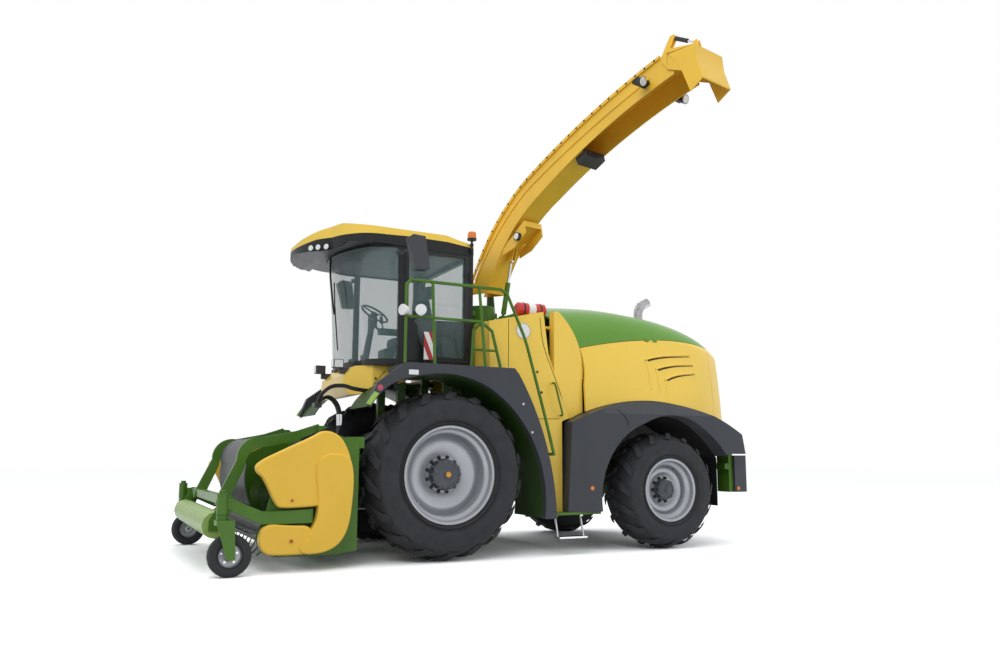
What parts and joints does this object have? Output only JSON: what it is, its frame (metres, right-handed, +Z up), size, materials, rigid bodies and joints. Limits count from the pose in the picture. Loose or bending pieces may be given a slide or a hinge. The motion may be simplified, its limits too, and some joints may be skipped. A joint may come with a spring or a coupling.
{
  "type": "self-propelled forage harvester",
  "caption": "Self-propelled forage harvester with pickup header, slewing discharge spout, glazed cab, large drive wheels in front and steered wheels behind.",
  "frame": {"origin": "on the ground under the middle of the front axle", "axes": "+X forwards along the machine, +Y to its left, +Z up"},
  "size_m": [7.225, 5.7593, 5.79],
  "materials": {
    "frame_green": "satin",
    "hood_green": "gloss",
    "roller_green": "satin",
    "panel_yellow": "gloss",
    "skirt_grey": "satin",
    "liner_black": "matte",
    "trim_black": "satin",
    "tinted_glass": "polished",
    "rim_silver": "satin",
    "tyre": "matte",
    "engine_grey": "rough",
    "dark_steel": "satin",
    "bright_steel": "polished",
    "seat_dark": "woven",
    "lamp_white": "gloss",
    "beacon_orange": "gloss",
    "mirror_grey": "satin",
    "alarm_red": "gloss",
    "guard_grey": "satin"
  },
  "bodies": {
    "chassis": {"main_frame": "frame_green", "axles": "frame_green", "engine_block": "engine_grey", "chopper_unit": "frame_green", "front_fenders": "skirt_grey", "rear_fenders": "skirt_grey", "front_arches": "frame_green", "rear_arches": "liner_black", "body_front": "panel_yellow", "hood_top": "hood_green", "hood_rear": "panel_yellow", "cab_frame": "trim_black", "cab_glass": "tinted_glass", "roof_cap": "panel_yellow", "roof_visor": "trim_black", "cab_nose": "panel_yellow", "cab_interior": "seat_dark", "platform_rails": "frame_green", "folding_step": "bright_steel", "work_lamps": "lamp_white", "beacon": "beacon_orange", "mirrors": "mirror_grey", "exhaust_pipe": "bright_steel", "extinguisher": "alarm_red"},
    "wheel_front_left": {"tyre_front_left": "tyre", "rim_front_left": "rim_silver"},
    "wheel_front_right": {"tyre_front_right": "tyre", "rim_front_right": "rim_silver"},
    "steer_left": {"knuckle_left": "dark_steel"},
    "steer_right": {"knuckle_right": "dark_steel"},
    "wheel_rear_left": {"tyre_rear_left": "tyre", "rim_rear_left": "rim_silver"},
    "wheel_rear_right": {"tyre_rear_right": "tyre", "rim_rear_right": "rim_silver"},
    "door": {"cab_door": "trim_black", "cab_door_glass": "tinted_glass"},
    "side_door_left": {"hood_door_left": "panel_yellow"},
    "side_door_right": {"hood_door_right": "panel_yellow"},
    "turret": {"turret": "frame_green"},
    "spout": {"spout_trough": "panel_yellow", "spout_lamps": "trim_black"},
    "deflector": {"spout_flap": "panel_yellow"},
    "spout_barrel": {"spout_lift_barrel": "dark_steel"},
    "spout_rod": {"spout_lift_rod": "bright_steel"},
    "deflector_barrel": {"flap_barrel": "dark_steel"},
    "deflector_rod": {"flap_rod": "bright_steel"},
    "header": {"feeder_house": "frame_green", "header_frame": "frame_green", "header_shields": "panel_yellow"},
    "reel": {"pickup_reel": "dark_steel"},
    "auger": {"feed_auger": "frame_green"},
    "crop_press": {"crop_press_arms": "frame_green", "windguard": "guard_grey"},
    "roller": {"press_roller": "roller_green"},
    "caster_left": {"gauge_fork_left": "frame_green"},
    "caster_right": {"gauge_fork_right": "frame_green"},
    "gauge_left": {"gauge_wheel_left": "tyre"},
    "gauge_right": {"gauge_wheel_right": "tyre"},
    "header_barrels": {"header_lift_barrels": "dark_steel"},
    "header_rods": {"header_lift_rods": "bright_steel"}
  },
  "joints": [
    {"name": "roll_front_left", "type": "hinge", "parent": "chassis", "child": "wheel_front_left", "pos_m": [0, 1.24, 0.96], "axis": [0, 1, 0], "continuous": true},
    {"name": "roll_front_right", "type": "hinge", "parent": "chassis", "child": "wheel_front_right", "pos_m": [0, -1.24, 0.96], "axis": [0, 1, 0], "continuous": true},
    {"name": "steering_left", "type": "hinge", "parent": "chassis", "child": "steer_left", "pos_m": [-3.105, 0.93, 0.745], "axis": [0, 0, 1], "range_deg": [-32, 32]},
    {"name": "steering_right", "type": "hinge", "parent": "chassis", "child": "steer_right", "pos_m": [-3.105, -0.93, 0.745], "axis": [0, 0, 1], "range_deg": [-32, 32]},
    {"name": "roll_rear_left", "type": "hinge", "parent": "steer_left", "child": "wheel_rear_left", "pos_m": [-3.105, 1.255, 0.745], "axis": [0, 1, 0], "continuous": true},
    {"name": "roll_rear_right", "type": "hinge", "parent": "steer_right", "child": "wheel_rear_right", "pos_m": [-3.105, -1.255, 0.745], "axis": [0, 1, 0], "continuous": true},
    {"name": "cab_door_swing", "type": "hinge", "parent": "chassis", "child": "door", "pos_m": [-0.497, 0.938, 3], "axis": [0, 0, 1], "range_deg": [0, 38]},
    {"name": "hood_door_left_lift", "type": "hinge", "parent": "chassis", "child": "side_door_left", "pos_m": [-3, 1.3, 2.702], "axis": [1, 0, 0], "range_deg": [0, 70]},
    {"name": "hood_door_right_lift", "type": "hinge", "parent": "chassis", "child": "side_door_right", "pos_m": [-3, -1.3, 2.702], "axis": [-1, 0, 0], "range_deg": [0, 70]},
    {"name": "spout_swing", "type": "hinge", "parent": "chassis", "child": "turret", "pos_m": [-1.1, 0, 2.85], "axis": [0, 0, 1], "range_deg": [-22, 178]},
    {"name": "spout_lift", "type": "hinge", "parent": "turret", "child": "spout", "pos_m": [-1.08753, -0.05869, 3.42], "axis": [0.9781, 0.2079, 0], "range_deg": [-15, 5]},
    {"name": "spout_barrel_pin", "type": "hinge", "parent": "turret", "child": "spout_barrel", "pos_m": [-1.1998, 0.46951, 3], "axis": [0.9781, 0.2079, 0], "range_deg": [-10, 4]},
    {"name": "spout_rod_slide", "type": "slide", "parent": "spout_barrel", "child": "spout_rod", "axis": [-0.0475, 0.2237, 0.9735], "range_m": [-0.17, 0.06]},
    {"name": "deflector_tilt", "type": "hinge", "parent": "spout", "child": "deflector", "pos_m": [-1.84017, 3.4822, 5.475], "axis": [0.9781, 0.2079, 0], "range_deg": [-20, 15]},
    {"name": "deflector_barrel_pin", "type": "hinge", "parent": "spout", "child": "deflector_barrel", "pos_m": [-1.82353, 3.40395, 5.76], "axis": [0.9781, 0.2079, 0], "range_deg": [-8, 6]},
    {"name": "deflector_rod_slide", "type": "slide", "parent": "deflector_barrel", "child": "deflector_rod", "axis": [-0.1796, 0.8449, -0.5039], "range_m": [-0.053, 0.071]},
    {"name": "header_lift", "type": "hinge", "parent": "chassis", "child": "header", "pos_m": [0.29, 0, 1.3], "axis": [0, -1, 0], "range_deg": [0, 14]},
    {"name": "header_barrel_pin", "type": "hinge", "parent": "chassis", "child": "header_barrels", "pos_m": [-0.06, 0, 0.56], "axis": [0, -1, 0], "range_deg": [0, 8.5]},
    {"name": "header_rod_slide", "type": "slide", "parent": "header_barrels", "child": "header_rods", "axis": [1, 0, 0], "range_m": [0, 0.176]},
    {"name": "pickup_spin", "type": "hinge", "parent": "header", "child": "reel", "pos_m": [1.93, 0, 0.365], "axis": [0, 1, 0], "continuous": true},
    {"name": "auger_spin", "type": "hinge", "parent": "header", "child": "auger", "pos_m": [1.45, 0, 0.67], "axis": [0, 1, 0], "continuous": true},
    {"name": "crop_press_lift", "type": "hinge", "parent": "header", "child": "crop_press", "pos_m": [1.33, 0, 1.46], "axis": [0, -1, 0], "range_deg": [0, 30]},
    {"name": "roller_spin", "type": "hinge", "parent": "crop_press", "child": "roller", "pos_m": [2.47, 0, 0.47], "axis": [0, 1, 0], "continuous": true},
    {"name": "caster_left_swivel", "type": "hinge", "parent": "header", "child": "caster_left", "pos_m": [2.47, 1.655, 0.7], "axis": [0, 0, 1], "range_deg": [-30, 30]},
    {"name": "caster_right_swivel", "type": "hinge", "parent": "header", "child": "caster_right", "pos_m": [2.47, -1.655, 0.7], "axis": [0, 0, 1], "range_deg": [-30, 30]},
    {"name": "gauge_left_roll", "type": "hinge", "parent": "caster_left", "child": "gauge_left", "pos_m": [2.38, 1.655, 0.207], "axis": [0, 1, 0], "continuous": true},
    {"name": "gauge_right_roll", "type": "hinge", "parent": "caster_right", "child": "gauge_right", "pos_m": [2.38, -1.655, 0.207], "axis": [0, 1, 0], "continuous": true}
  ],
  "couplings": [
    {"joint": "steering_right", "follows": "steering_left", "ratio": 1},
    {"joint": "spout_barrel_pin", "follows": "spout_lift", "ratio": 0.6464},
    {"joint": "spout_rod_slide", "follows": "spout_lift", "m_per_rad": 0.6376},
    {"joint": "deflector_barrel_pin", "follows": "deflector_tilt", "ratio": 0.39259},
    {"joint": "deflector_rod_slide", "follows": "deflector_tilt", "m_per_rad": -0.20138},
    {"joint": "header_barrel_pin", "follows": "header_lift", "ratio": 0.60196},
    {"joint": "header_rod_slide", "follows": "header_lift", "m_per_rad": 0.71713}
  ]
}
